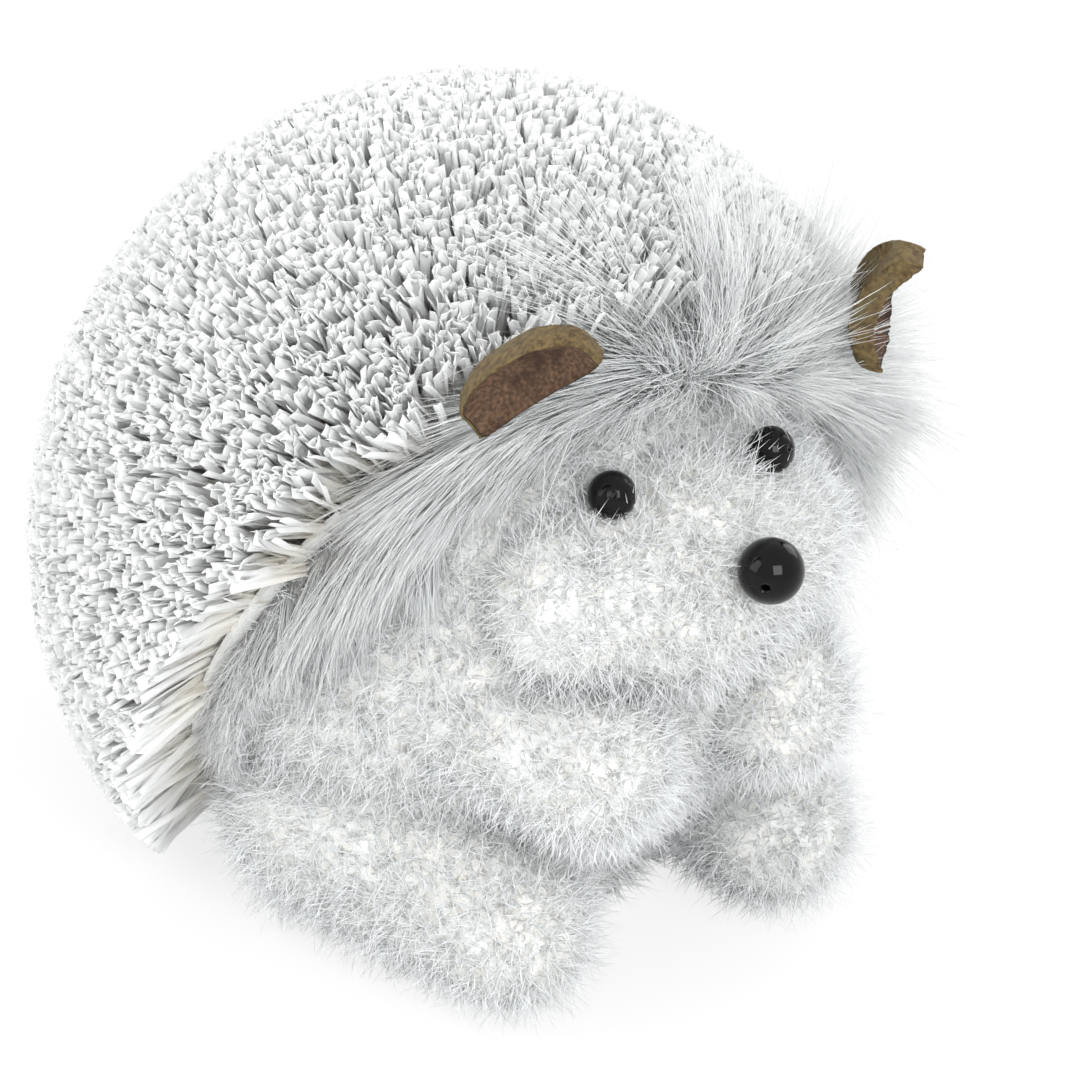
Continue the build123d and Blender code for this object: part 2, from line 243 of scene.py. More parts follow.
foam_look = Look("foam", Roughness=0.9, Specular_IOR_Level=0.2)
foam_cells = foam_look.noise(900.0, 3.0)
foam_look.colour(foam_look.mix(foam_cells, (0.80, 0.79, 0.76), (0.90, 0.89, 0.87)))
foam_look.bump(foam_cells, 0.0004)
for node_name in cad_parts:
    if node_name.endswith("_core"):
        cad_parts[node_name].data.materials.clear()
        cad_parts[node_name].data.materials.append(foam_look.material)

felt_look = Look("pressed_felt", Roughness=0.95, Specular_IOR_Level=0.1, Sheen_Weight=0.3)
felt_fibres = felt_look.noise(2200.0, 4.0, stretch=(1, 0.4, 1))
felt_look.colour(felt_look.mix(felt_fibres, (0.66, 0.64, 0.60), (0.84, 0.83, 0.80)))
felt_look.bump(felt_fibres, 0.0003)
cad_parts["base_felt"].data.materials.clear()
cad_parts["base_felt"].data.materials.append(felt_look.material)


# The short fur of the body. The fur cloth is glued over the ball in front of the quills and under
# the rump. Its pile is a mat of fine stiff hairs that cross each other, 8 to 10 mm long.

ball_centre = np.array([0.0, 0.0, 0.066])
ball_radius = 0.060
coat_tilt = math.radians(26.0)
hood_offset = 0.011
belly_half_angle = math.radians(43.5)
rear_pole = np.array([0.0, math.cos(coat_tilt), math.sin(coat_tilt)])
coat_up = np.array([0.0, -rear_pole[2], rear_pole[1]])
side = np.array([1.0, 0.0, 0.0])
body_skin_radius = 0.0650
under_coat_radius = 0.0605
foot_skin_radius = 0.0392
foot_skin_low = 0.0006
skirt_reach = 0.080
hood_blend = 0.001
belly_blend = 0.01
pile_density = 1.45e6
hair_length = 0.0090
hair_radius = 0.00013
hair_lean = math.radians(52)
hair_lean_spread = math.radians(18)
hair_taper = 0.75
root_depth = 0.0008
tone_count = 64
map_low_share, map_high_share = 0.25, 0.75


def unit(vectors):
    """Each vector divided by its own length."""
    return vectors / np.linalg.norm(vectors, axis=-1, keepdims=True)


def smooth_step(value, low, high):
    """0 below low, 1 above high, and a cubic rise between them."""
    share = np.clip((value - low) / (high - low), 0, 1)
    return share * share * (3 - 2 * share)


def closed_polygons(rows, columns):
    """Faces of a closed skin: rows of quads round it, and a flat face at its first and last ring."""
    index = np.arange(rows * columns).reshape(rows, columns)
    right = np.roll(index, -1, axis=1)
    quads = np.stack([index[:-1], right[:-1], right[1:], index[1:]], axis=-1)
    return [quads, index[:1, ::-1], index[-1:]]


def behind_hood(points):
    """1 behind the edge of the quill coat and outside the bare cone over the belly, else 0."""
    out = points - ball_centre
    behind = smooth_step(out @ rear_pole, -hood_offset - hood_blend, -hood_offset + hood_blend)
    down = -out[..., 2] / np.linalg.norm(out, axis=-1)
    cone_edge = math.cos(belly_half_angle)
    return behind * (1 - smooth_step(down, cone_edge - belly_blend, cone_edge))


def round_form_distance(points, start, along, stations):
    """How far each point is outside a row of balls wrapped in their tangent cones, taken as the
    least distance to many balls whose radii run from one station to the next."""
    offsets = points - start
    best = np.full(points.shape[:-1], np.inf)
    for (place, radius), (next_place, next_radius) in zip(stations, stations[1:]):
        for share in np.linspace(0, 1, 12):
            centre = along * (place + (next_place - place) * share)
            reach = radius + (next_radius - radius) * share
            best = np.minimum(best, np.linalg.norm(offsets - centre, axis=-1) - reach)
    return best


# Head, arms and legs, in metres: where each form starts, the way it runs, and its balls along it

leg_shift = 0.004
forms = {
    "head": (np.array([0.0, -0.052, 0.083]), side, [(-0.0225, 0.019), (0.0, 0.026), (0.0225, 0.019)]),
}
for hand, hand_name in ((-1, "right"), (1, "left")):
    arm_upper = np.array([hand * 0.044, -0.024, 0.061])
    arm_lower = np.array([hand * 0.0225, -0.0635, 0.054])
    leg_upper = np.array([hand * 0.040 + leg_shift, -0.014, 0.0265])
    leg_lower = np.array([hand * 0.0335 + leg_shift, -0.054, 0.0165])
    arm_run = np.linalg.norm(arm_lower - arm_upper)
    leg_run = np.linalg.norm(leg_lower - leg_upper)
    forms[f"{hand_name}_arm"] = (
        arm_upper, (arm_lower - arm_upper) / arm_run, [(0.0, 0.015), (arm_run, 0.0165)]
    )
    forms[f"{hand_name}_leg"] = (
        leg_upper, (leg_lower - leg_upper) / leg_run, [(0.0, 0.027), (leg_run, 0.017)]
    )
skin_depth = 0.0030


def outside_forms(points, without=()):
    """The least distance of each point to the head and limbs, without the named ones."""
    return np.min(
        [round_form_distance(points, *form) for name, form in forms.items() if name not in without], axis=0
    )


def body_skin(rows, columns):
    """The cloth over the ball, as a distance from the ball's middle in each direction: the foot of
    the pile in front, lower under the quills and in the head and limbs, and a skirt over the foot."""
    polar = np.linspace(0.004, math.pi - 0.004, rows)[:, None]
    turn = np.linspace(0, 2 * math.pi, columns, endpoint=False)[None]
    ways = np.stack(
        [np.sin(polar) * np.cos(turn), np.sin(polar) * np.sin(turn), -np.cos(polar) + 0 * turn], axis=-1
    )
    reach = np.full(ways.shape[:-1], body_skin_radius)
    covered = behind_hood(ball_centre + ways * body_skin_radius)
    reach = reach + (under_coat_radius - reach) * covered
    inside = smooth_step(-outside_forms(ball_centre + ways * body_skin_radius), 0.002, 0.004)
    reach = reach + (under_coat_radius - reach) * inside
    skirt = np.minimum(
        foot_skin_radius / np.maximum(np.sin(polar), 1e-6) + 0 * turn,
        (ball_centre[2] - foot_skin_low) / np.maximum(-ways[..., 2], 1e-6),
    )
    reach = np.where(ways[..., 2] < 0, np.maximum(reach, np.minimum(skirt, skirt_reach)), reach)
    return ball_centre + ways * reach[..., None]


def scatter(grid, count, draw):
    """Random points on a closed skin's quads, evenly by area, with their outward normals."""
    right = np.roll(grid, -1, axis=1)
    corners = np.stack([grid[:-1], right[:-1], right[1:], grid[1:]], axis=2).reshape(-1, 4, 3)
    across = corners[:, 2] - corners[:, 0]
    over = corners[:, 3] - corners[:, 1]
    normals = np.cross(across, over)
    areas = np.linalg.norm(normals, axis=-1)
    chosen = draw.choice(len(corners), size=count, p=areas / areas.sum())
    u, v = draw.random((2, count, 1))
    quad = corners[chosen]
    low = quad[:, 0] * (1 - u) + quad[:, 1] * u
    high = quad[:, 3] * (1 - u) + quad[:, 2] * u
    return low * (1 - v) + high * v, unit(normals[chosen])


def bundle(name, rings, ends, levels, tones, material):
    """One mesh of many closed tubes. rings is (count, levels, sides, 3). Where ends (count, 3) is
    given, each tube runs to that point, else it is cut off flat. In the map, U is the share along
    the tube and V is its tone, in a band of its own."""
    count, steps, sides = rings.shape[:3]
    index = np.arange(count * steps * sides).reshape(count, steps, sides)
    right = np.roll(index, -1, axis=2)
    walls = np.stack([index[:, :-1], right[:, :-1], right[:, 1:], index[:, 1:]], axis=-1)
    low, high = ((tones + share) / tone_count for share in (map_low_share, map_high_share))
    shape = walls.shape[:3]
    near, far = levels[:-1, None], levels[1:, None]
    wall_u = np.stack(np.broadcast_arrays(near, near, far, far), axis=-1)[None]
    wall_v = np.stack([low, high, high, low], axis=-1)[:, None, None]
    maps = [(np.broadcast_to(wall_u, (*shape, 4)), np.broadcast_to(wall_v, (*shape, 4)))]
    polygons = [walls]
    foot_u = 0.02 + 0.02 * np.arange(sides)[None] / sides
    foot_v = np.where(np.arange(sides) % 2 == 0, low[:, None], high[:, None])
    polygons.append(index[:, 0, ::-1])
    maps.append((np.broadcast_to(foot_u, (count, sides)), foot_v))
    points = rings.reshape(-1, 3)
    if ends is None:
        polygons.append(index[:, -1])
        maps.append((np.broadcast_to(1 - foot_u, (count, sides)), foot_v))
    else:
        tip = np.broadcast_to((len(points) + np.arange(count))[:, None], (count, sides))
        polygons.append(np.stack([index[:, -1], right[:, -1], tip], axis=-1))
        tip_u = np.broadcast_to(np.array([levels[-1], levels[-1], 1.0]), (count, sides, 3))
        middle = (low + high) / 2
        tip_v = np.broadcast_to(np.stack([low, high, middle], axis=-1)[:, None], (count, sides, 3))
        maps.append((tip_u, tip_v))
        points = np.concatenate([points, ends])
    made = mesh_object(name, points, polygons, material, smooth=ends is not None)
    layer = made.data.uv_layers.new(name="OFBake", do_init=False)
    flat = [np.stack([u.reshape(-1), v.reshape(-1)], axis=-1) for u, v in maps]
    layer.data.foreach_set("uv", np.concatenate(flat).astype(np.float32).ravel())
    layer.active_render = True
    return made


def hairs(name, roots, headings, lengths, bends, radius, levels, material, draw, sides=3):
    """Fine hairs. A hair leaves its root along its heading and is bent aside by the square of the
    way along; it is round, thins towards its end and stays above the table."""
    share = levels[None, :, None]
    length = lengths[:, None, None]
    middles = roots[:, None] + headings[:, None] * share * length + bends[:, None] * share ** 2 * length
    ends = roots + (headings + bends) * lengths[:, None]
    floor = radius * (1.5 + 4 * draw.random((len(roots), 1)))
    middles[..., 2] = np.maximum(middles[..., 2], floor)
    ends[:, 2] = np.maximum(ends[:, 2], floor[:, 0])
    aside = unit(np.cross(headings, unit(draw.normal(size=headings.shape))))
    other = np.cross(headings, aside)
    turn = 2 * math.pi * np.arange(sides) / sides
    spokes = aside[:, None] * np.cos(turn)[None, :, None] + other[:, None] * np.sin(turn)[None, :, None]
    thin = radius * (1 - hair_taper * levels ** 2)
    rings = middles[:, :, None] + spokes[:, None] * thin[None, :, None, None]
    tones = draw.integers(0, tone_count, len(roots))
    return bundle(name, rings, ends, levels, tones, material)


def mat_headings(normals, draw, lean, spread):
    """Headings of a crossed pile: each leans from its normal by about this angle, any way round."""
    aside = unit(np.cross(normals, unit(draw.normal(size=normals.shape))))
    angle = draw.normal(lean, spread, (len(normals), 1))
    return normals * np.cos(angle) + aside * np.sin(angle)


def strand_tone(look):
    """The map's two shares: the way along the strand, and a chance number for each tone band."""
    strand_map = look.node("ShaderNodeUVMap", {"uv_map": "OFBake"})
    split = look.node("ShaderNodeSeparateXYZ", None, [strand_map.outputs[0]])
    band = Value(look, split.outputs["Y"]).maths("MULTIPLY", float(tone_count)).maths("FLOOR")
    chance = look.node("ShaderNodeTexWhiteNoise", {"noise_dimensions": "1D"}, {"W": band})
    return Value(look, split.outputs["X"]), Value(look, chance.outputs["Value"])


hair_look = Look(
    "short_hair", Roughness=0.5, Specular_IOR_Level=0.3,
    Subsurface_Weight=0.2, Subsurface_Scale=0.002, Subsurface_Radius=(1, 1, 1),
)
along_hair, hair_chance = strand_tone(hair_look)
hair_colour = hair_look.mix(along_hair.between(0.0, 0.55), (0.89, 0.89, 0.87), (0.89, 0.915, 0.925))
hair_look.colour(hair_look.mix(hair_chance * 0.55, hair_colour, (0.93, 0.95, 0.96)))

skin_look = Look("fur_cloth", Roughness=0.95, Specular_IOR_Level=0.1)
skin_patches = skin_look.noise(120.0, 3.0)
skin_fibres = skin_look.noise(1500.0, 4.0, stretch=(1, 0.5, 0.7))
cloth_colour = skin_look.mix(skin_patches.between(0.35, 0.65), (0.88, 0.86, 0.81), (0.93, 0.93, 0.91))
skin_look.colour(skin_look.mix(skin_fibres.between(0.45, 0.75), cloth_colour, (0.92, 0.94, 0.95)))
skin_look.bump(skin_fibres, 0.0008)

chance = np.random.default_rng(7)


def skin_piece(name, grid, node):
    """A fur cloth skin riding on the part's one body, in place of the CAD nodes, which it hides."""
    rows, columns = grid.shape[:2]
    made = mesh_object(name, grid, closed_polygons(rows, columns), skin_look.material)
    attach(made, "root")
    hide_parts(*node)


def short_pile(name, grid, keep):
    """The pile of one skin: scattered roots, those that keep says, and a crossed mat of hairs."""
    right = np.roll(grid, -1, axis=1)
    crosses = np.cross(right[1:] - grid[:-1], grid[1:] - right[:-1])
    area = np.linalg.norm(crosses, axis=-1).sum() / 2
    roots, normals = scatter(grid, int(area * pile_density), chance)
    kept = keep(roots + normals * 0.001)
    roots, normals = roots[kept], normals[kept]
    headings = mat_headings(normals, chance, hair_lean, hair_lean_spread)
    lengths = hair_length * chance.uniform(0.65, 1.15, len(roots))
    bends = unit(chance.normal(size=roots.shape)) * chance.uniform(0, 0.22, (len(roots), 1))
    made = hairs(
        name, roots - normals * root_depth, headings, lengths, bends, hair_radius,
        np.array([0.0, 0.55]), hair_look.material, chance,
    )
    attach(made, "root")


body_grid = body_skin(110, 170)
skin_piece("body_skin", body_grid, ["body_fur", "rump_fur"])


def bare_body(points):
    """True on the ball where no quills, head or limb cover it."""
    free = (behind_hood(points) < 0.3) & (outside_forms(points) > -0.0005)
    off_middle = np.hypot(points[:, 0], points[:, 1])
    under_foot = (points[:, 2] < 0.004) & (off_middle < foot_skin_radius - 0.001)
    return free & ~under_foot


short_pile("body_pile", body_grid, bare_body)


# The head, arms and legs: foam forms in sleeves of the same fur cloth, glued to the ball. Each
# sleeve swells and tapers as a row of balls wrapped in their tangent cones.

form_end_gap = 0.0006
form_floor = 0.0005


def round_grid(start, along, stations, growth, rows, columns):
    """A row of balls in their tangent cones, as rings about the line: along each arc and straight
    piece of its outline the rings are evenly spaced. What falls in the ball is pushed out to it."""
    outline = []
    touch = math.pi
    circles = [(place, radius + growth) for place, radius in stations]
    for number, (place, radius) in enumerate(circles):
        if number + 1 < len(circles):
            next_place, next_radius = circles[number + 1]
            leave = math.pi / 2 - math.asin((radius - next_radius) / (next_place - place))
        else:
            leave = 0.0
        for angle in np.linspace(touch, leave, rows):
            outline.append((place + radius * math.cos(angle), radius * math.sin(angle)))
        touch = leave
    outline = np.array(outline)
    steps = np.concatenate([[0], np.cumsum(np.linalg.norm(np.diff(outline, axis=0), axis=1))])
    even = np.linspace(form_end_gap, steps[-1] - form_end_gap, 3 * rows)
    place = np.interp(even, steps, outline[:, 0])
    radius = np.interp(even, steps, outline[:, 1])
    across = unit(np.cross(along, np.array([0.0, 0.0, 1.0])))
    rise = np.cross(across, along)
    turn = np.linspace(0, 2 * math.pi, columns, endpoint=False)
    spokes = -across[None] * np.cos(turn)[:, None] + rise[None] * np.sin(turn)[:, None]
    grid = start + along * place[:, None, None] + spokes[None] * radius[:, None, None]
    out = grid - ball_centre
    distance = np.linalg.norm(out, axis=-1, keepdims=True)
    grid = ball_centre + out * np.maximum(1, under_coat_radius / distance)
    grid[..., 2] = np.maximum(grid[..., 2], form_floor)
    return grid


for form_name, form in forms.items():
    form_grid = round_grid(*form, -skin_depth, 22, 72)
    skin_piece(f"{form_name}_skin", form_grid, [f"{form_name}_fur"])

    def bare_form(points, name=form_name):
        """True outside the ball's pile and the other forms, in front of the quills."""
        above_ball = np.linalg.norm(points - ball_centre, axis=-1) > body_skin_radius - 0.001
        clear = outside_forms(points, without=(name,)) > -0.0035
        return above_ball & clear & (behind_hood(points) < 0.5)

    short_pile(f"{form_name}_pile", form_grid, bare_form)


# The quill coat: rings of tape sewn round the ball, closed over its rump, and on each ring tufts of
# flat paper ribbon. A tuft's ribbons spread a little and are cut square at about one height.

row_count = 11
crown_angle = math.radians(6.0)
tape_thickness = 0.0016
tape_gap = 0.0005
coat_reach = np.array([0.0870, 0.0870, 0.0910])
ribbon_width = 0.0020
ribbon_thickness = 0.00022
ribbon_fold = 0.00045
tufts_in_row_depth = 3
tuft_pitch = 0.0044
rump_pitch_drop = 0.2
ribbons_in_tuft = 14
tuft_spread = 0.135
tuft_lean_spread = 0.085
ribbon_floor = 0.0006
ribbon_low_end = 4 * ribbon_floor
ribbon_root_spread = 0.0009
ribbon_bend_spread = 0.10
ribbon_twist_spread = 0.7
ribbon_slant_spread = 0.28
tape_radius = ball_radius + 0.0002
hood_angle = math.acos(-hood_offset / (tape_radius + tape_thickness))
row_angle = (hood_angle - crown_angle) / row_count

ribbon_look = Look(
    "paper_ribbon", Roughness=0.6, Specular_IOR_Level=0.35,
    Subsurface_Weight=0.7, Subsurface_Scale=0.002, Subsurface_Radius=(1, 1, 1),
)
along_ribbon, ribbon_chance = strand_tone(ribbon_look)
# Painted shade: each ribbon is a darker cream towards its root, standing in for the shade deep in the
# coat, and near-white towards its tip; its tone band is then lightened at random.
ribbon_depth_painted_shade = ribbon_look.mix(along_ribbon.between(0.30, 0.90), (0.88, 0.83, 0.71), (0.86, 0.875, 0.87))
ribbon_look.colour(ribbon_look.mix(ribbon_chance * 0.6, ribbon_depth_painted_shade, (0.91, 0.92, 0.92)))

tape_look = Look("tape", Roughness=0.9, Specular_IOR_Level=0.2)
tape_weave = tape_look.noise(2500.0, 2.0)
tape_look.colour(tape_look.mix(tape_weave, (0.82, 0.77, 0.66), (0.92, 0.88, 0.78)))
tape_look.bump(tape_weave, 0.0003)


def around_coat(polar, turn):
    """The way out from the ball's middle at an angle from the rear pole and a turn round it."""
    across = side * np.sin(turn)[..., None] + coat_up * np.cos(turn)[..., None]
    return rear_pole * np.cos(polar)[..., None] + across * np.sin(polar)[..., None]


def coat_surface(ways):
    """How far the coat reaches along each way: an upright oval about the ball's middle."""
    return 1 / np.sqrt(((ways / coat_reach) ** 2).sum(axis=-1))


def ribbons(name, polar, turn, draw):
    """Paper ribbons on tufts at these angles. A ribbon is a strip with a shallow fold along it: at
    each level four points lie round it, and the strip twists and bends a little on its way out."""
    count = len(polar) * ribbons_in_tuft
    foot = np.repeat(around_coat(polar, turn), ribbons_in_tuft, axis=0)
    tuft_lean = np.repeat(draw.normal(0, tuft_lean_spread, (len(polar), 3)), ribbons_in_tuft, axis=0)
    fan = draw.normal(0, tuft_spread, (count, 3))
    fan -= foot * (fan * foot).sum(axis=1, keepdims=True)
    heading = unit(foot + fan + tuft_lean - foot * (tuft_lean * foot).sum(axis=1, keepdims=True))
    ahead = -(heading @ rear_pole)
    flank = smooth_step(-(foot @ coat_up), -0.7, 0.0)
    limit = draw.uniform(0.1, 1.1, count) + flank * draw.uniform(0.2, 1.4, count)
    too_far = np.maximum(0, ahead - limit * hood_offset / coat_reach[1])
    heading = unit(heading + rear_pole * too_far[:, None])
    root = foot * (tape_radius + 0.0010) + draw.normal(0, ribbon_root_spread, (count, 3))
    bend_share = draw.normal(0, ribbon_bend_spread, (count, 3))
    bend_share -= rear_pole * np.minimum(0, bend_share @ rear_pole)[:, None]
    shorter = draw.uniform(0, 0.0028, count)
    length = np.full(count, 0.026)
    for correction in range(4):
        end = root + (heading + bend_share) * length[:, None]
        reach = np.linalg.norm(end, axis=1)
        wanted = coat_surface(end / reach[:, None]) - shorter
        below = np.maximum(-end[:, 2], 1e-6)
        wanted = np.minimum(wanted, (ball_centre[2] - ribbon_low_end) * reach / below)
        length += wanted - reach
    levels = np.array([0.0, 0.72, 1.0])
    bend = bend_share * length[:, None]
    share = levels[None, :, None]
    middle = root[:, None] + heading[:, None] * length[:, None, None] * share + bend[:, None] * share ** 2
    aside = unit(np.cross(heading, unit(draw.normal(size=heading.shape))))
    facing = np.cross(heading, aside)
    twist = draw.normal(0, ribbon_twist_spread, (count, 1)) * levels[None]
    wide = aside[:, None] * np.cos(twist)[..., None] + facing[:, None] * np.sin(twist)[..., None]
    flat = facing[:, None] * np.cos(twist)[..., None] - aside[:, None] * np.sin(twist)[..., None]
    half = ribbon_width / 2 * draw.uniform(0.75, 1.15, (count, 1)) * (0.8 + 0.2 * levels[None])
    fold = ribbon_fold * draw.uniform(-1, 1, (count, 1))
    skin = ribbon_thickness / 2
    spots = [(1, 0, 0), (0, 1, 1), (-1, 0, 0), (0, 1, -1)]
    rings = np.stack(
        [
            middle + wide * (half * out)[..., None] + flat * (fold * crest + skin * face)[..., None]
            for out, crest, face in spots
        ],
        axis=2,
    )
    slant = draw.normal(0, ribbon_slant_spread, (count, 1, 1)) * np.array([1, 0, -1, 0])[None, :, None]
    rings[:, -1] += heading[:, None] * slant * half[:, -1:, None]
    rings += ball_centre
    rings[..., 2] = np.maximum(rings[..., 2], ribbon_floor * draw.uniform(0.5, 1.5, (count, 1, 1)))
    tones = draw.integers(0, tone_count, count)
    return bundle(name, rings, None, levels, tones, ribbon_look.material)


def off_belly(polar, turn):
    """True where a tuft at these angles stands outside the bare cone over the belly."""
    return -around_coat(polar, turn)[..., 2] < math.cos(belly_half_angle + 0.05)


def tape_ring(polar_low, polar_high, columns=160):
    """A flat ring of tape between two angles from the rear pole: its four edge lines, the quads
    between them, and a mark for the columns of quads that lie outside the cone over the belly."""
    turn = np.linspace(0, 2 * math.pi, columns, endpoint=False)
    rings = []
    corners = ((polar_low, 0), (polar_low, tape_thickness), (polar_high, tape_thickness), (polar_high, 0))
    for polar, rise in corners:
        ways = around_coat(np.full(columns, polar), turn)
        rings.append(ball_centre + ways * (tape_radius + rise))
    grid = np.stack(rings + rings[:1])
    index = np.arange(4 * columns).reshape(4, columns)
    index = np.concatenate([index, index[:1]])
    right = np.roll(index, -1, axis=1)
    quads = np.stack([index[:-1], index[1:], right[1:], right[:-1]], axis=-1)
    middles = grid[:-1].mean(axis=0)
    out = unit(middles - ball_centre)
    keep = -out[:, 2] < math.cos(belly_half_angle)
    return grid[:4], quads, keep & np.roll(keep, -1)


tape_points, tape_faces, tape_total = [], [], 0
for row in range(row_count):
    row_high = hood_angle - row_angle * row - tape_gap / 2 / tape_radius
    row_low = hood_angle - row_angle * (row + 1) + tape_gap / 2 / tape_radius
    ring_points, ring_quads, ring_keep = tape_ring(row_low, row_high)
    tape_points.append(ring_points.reshape(-1, 3))
    ends = np.flatnonzero(ring_keep != np.roll(ring_keep, 1))
    index = np.arange(ring_points.shape[0] * ring_points.shape[1]).reshape(ring_points.shape[:2])
    tape_faces.append(ring_quads[:, ring_keep].reshape(-1, 4) + tape_total)
    if len(ends) == 2:
        caps = index[:, ends].T
        opens = ring_keep[ends][:, None]
        tape_faces.append(np.where(opens, caps, caps[:, ::-1]) + tape_total)
    tape_total += ring_points.shape[0] * ring_points.shape[1]
tapes = mesh_object(
    "quill_tapes",
    np.concatenate(tape_points),
    [np.concatenate(tape_faces)],
    tape_look.material,
    smooth=False,
)
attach(tapes, "root")

for row in range(row_count + 1):
    if row < row_count:
        node_name = f"quill_row_{row + 1:02d}"
        lines = hood_angle - row_angle * (row + (np.arange(tufts_in_row_depth) + 0.5) / tufts_in_row_depth)
    else:
        node_name = "quill_crown"
        lines = crown_angle * np.array([0.2, 0.75])
    polars, turns = [], []
    for line in lines:
        around = 2 * math.pi * tape_radius * math.sin(line)
        pitch = tuft_pitch * (1 - rump_pitch_drop * row / row_count)
        places = max(4, round(around / pitch))
        turns.append(2 * math.pi * (np.arange(places) + chance.uniform(-0.3, 0.3, places)) / places)
        polars.append(np.full(places, line) + chance.normal(0, 0.10, places) * row_angle)
    polar, turn = np.concatenate(polars), np.concatenate(turns)
    kept = off_belly(polar, turn)
    row_ribbons = ribbons(node_name.replace("quill", "ribbons"), polar[kept], turn[kept], chance)
    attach(row_ribbons, "root")
    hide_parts(node_name)


# The ruff: a strip of long silky pile cloth round the face. Its woven selvedge stands at the edge
# of the quills, and the pile is combed from the middle of the forehead to both sides.

pile_offset = hood_offset + 0.0016
pile_band_width = 0.0085
ruff_root_radius = 0.0655
ruff_hair_radius = 0.00013
ruff_piece_hairs = 5600
clumps_in_piece = 90
crossed_from = math.radians(76.0)
stray_share = 1 / 30
fluff_share = 0.4
clump_lean_spread = 0.16
front_drop = 0.40
front_lean = 0.34
front_shortening = 0.62
pile_room = 0.0130
ruff_levels = np.array([0.0, 0.22, 0.45, 0.68, 0.86])

# The lie of the pile at turns round the face: how much it stands out, leans ahead, bends back, runs
# on round the face and hangs down, and its length in metres. Low on the animal's right is first.
ruff_turns = np.radians([-112, -84, -72, -60, -46, -30, -9, 2, 13, 27, 42, 66, 90, 112])
out_shares = [0.6, 0.50, 0.36, 0.32, 0.32, 0.34, 0.42, 0.80, 1.0, 1.0, 0.85, 0.75, 0.6, 0.5]
ahead_shares = [0.6, 0.50, 0.38, 0.36, 0.36, 0.24, 0.14, 0.06, 0.04, 0.05, 0.08, 0.22, 0.35, 0.5]
back_shares = [0.0, 0.0, 0.0, 0.0, 0.0, 0.0, 0.08, 0.34, 0.42, 0.34, 0.08, 0.0, 0.0, 0.0]
onward_shares = [0.0, 0.0, -0.10, -0.20, -0.55, -1.0, -1.0, -0.55, -0.15, 0.28, 0.65, 0.62, 0.3, 0.0]
down_shares = [0.4, 0.60, 0.85, 0.80, 0.45, 0.0, 0.0, 0.0, 0.0, 0.0, 0.0, 0.0, 0.25, 0.5]
ruff_lengths = [
    0.006, 0.008, 0.015, 0.023, 0.026, 0.030, 0.036, 0.050, 0.057, 0.056, 0.048, 0.041, 0.022, 0.010,
]

long_hair_look = Look(
    "long_hair", Roughness=0.45, Specular_IOR_Level=0.35,
    Subsurface_Weight=0.8, Subsurface_Scale=0.003, Subsurface_Radius=(1, 1, 1),
)
along_pile, pile_chance = strand_tone(long_hair_look)
pile_colour = long_hair_look.mix(along_pile.between(0.0, 0.35), (0.92, 0.93, 0.91), (0.95, 0.98, 0.98))
long_hair_look.colour(long_hair_look.mix(pile_chance * 0.5, pile_colour, (0.97, 0.99, 1.0)))


def ruff_pile(name, turn_low, turn_high, draw):
    """The long pile between two turns round the face. Clumps of hairs lean and end together, the
    front of the band is lower and shorter than its back, one hair in thirty strays, and no hair
    ends farther outside the CAD model's box than its room there."""
    turn = draw.uniform(turn_low, turn_high, ruff_piece_hairs)
    ahead = draw.random(ruff_piece_hairs)
    across = side * np.sin(turn)[:, None] + coat_up * np.cos(turn)[:, None]
    onward = side * np.cos(turn)[:, None] - coat_up * np.sin(turn)[:, None]
    reach_ahead = pile_offset + ahead * pile_band_width
    roots = ball_centre - rear_pole * reach_ahead[:, None] + across * ruff_root_radius
    clump_turns = draw.uniform(turn_low, turn_high, clumps_in_piece)
    centres = np.stack([clump_turns, draw.random(clumps_in_piece)], axis=1)
    spots = np.stack([turn, ahead], axis=1)
    weights = np.array([ruff_root_radius, pile_band_width])
    apart = np.linalg.norm((spots[:, None] - centres[None]) * weights, axis=-1)
    nearest = np.argmin(apart, axis=1)
    clump_lean = draw.normal(0, clump_lean_spread, (clumps_in_piece, 3))[nearest]
    clump_length = draw.uniform(0.82, 1.12, clumps_in_piece)[nearest]
    stray = draw.random(ruff_piece_hairs) < stray_share
    lie_out, lie_ahead, lie_back, lie_onward, lie_down = (
        np.interp(turn, ruff_turns, shares)[:, None]
        for shares in (out_shares, ahead_shares, back_shares, onward_shares, down_shares)
    )
    down = np.array([0.0, 0.0, -1.0])
    crossed = 0.55 * smooth_step(np.abs(turn), crossed_from, crossed_from + 0.2)
    fluff = draw.random(ruff_piece_hairs) < fluff_share * (np.abs(turn) < crossed_from / 2)
    loose = (np.where(stray, 0.30, 0.08) + crossed + 0.3 * fluff)[:, None]
    headings = unit(
        across * lie_out * (1 - front_drop * ahead[:, None])
        - rear_pole * (lie_ahead + front_lean * ahead[:, None])
        + onward * lie_onward
        + down * lie_down
        + clump_lean
        + draw.normal(0, 1, (ruff_piece_hairs, 3)) * loose
    )
    lengths = np.interp(turn, ruff_turns, ruff_lengths) * clump_length * (1 - front_shortening * ahead)
    lengths = lengths * draw.uniform(0.75, 1.08, ruff_piece_hairs)
    lengths = lengths * np.where(stray, 1.2, 1) * np.where(fluff, 0.45, 1)
    bends = (
        rear_pole * lie_back
        + onward * 0.30 * lie_onward
        + down * (0.12 + 0.30 * lie_down)
        - across * 0.12
        + clump_lean * 0.4
        + draw.normal(0, 0.7, (ruff_piece_hairs, 3)) * loose
    )
    reach = headings + bends
    low, high = np.array(cad_box)
    free = np.where(reach > 0, high + pile_room - roots, roots - low + pile_room)
    room = free / np.maximum(np.abs(reach), 1e-6)
    lengths = np.minimum(lengths, room.min(axis=1) * draw.uniform(0.85, 1.0, ruff_piece_hairs))
    made = hairs(
        name, roots, headings, lengths, bends, ruff_hair_radius, ruff_levels, long_hair_look.material, draw
    )
    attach(made, "root")
    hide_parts("ruff_fur")


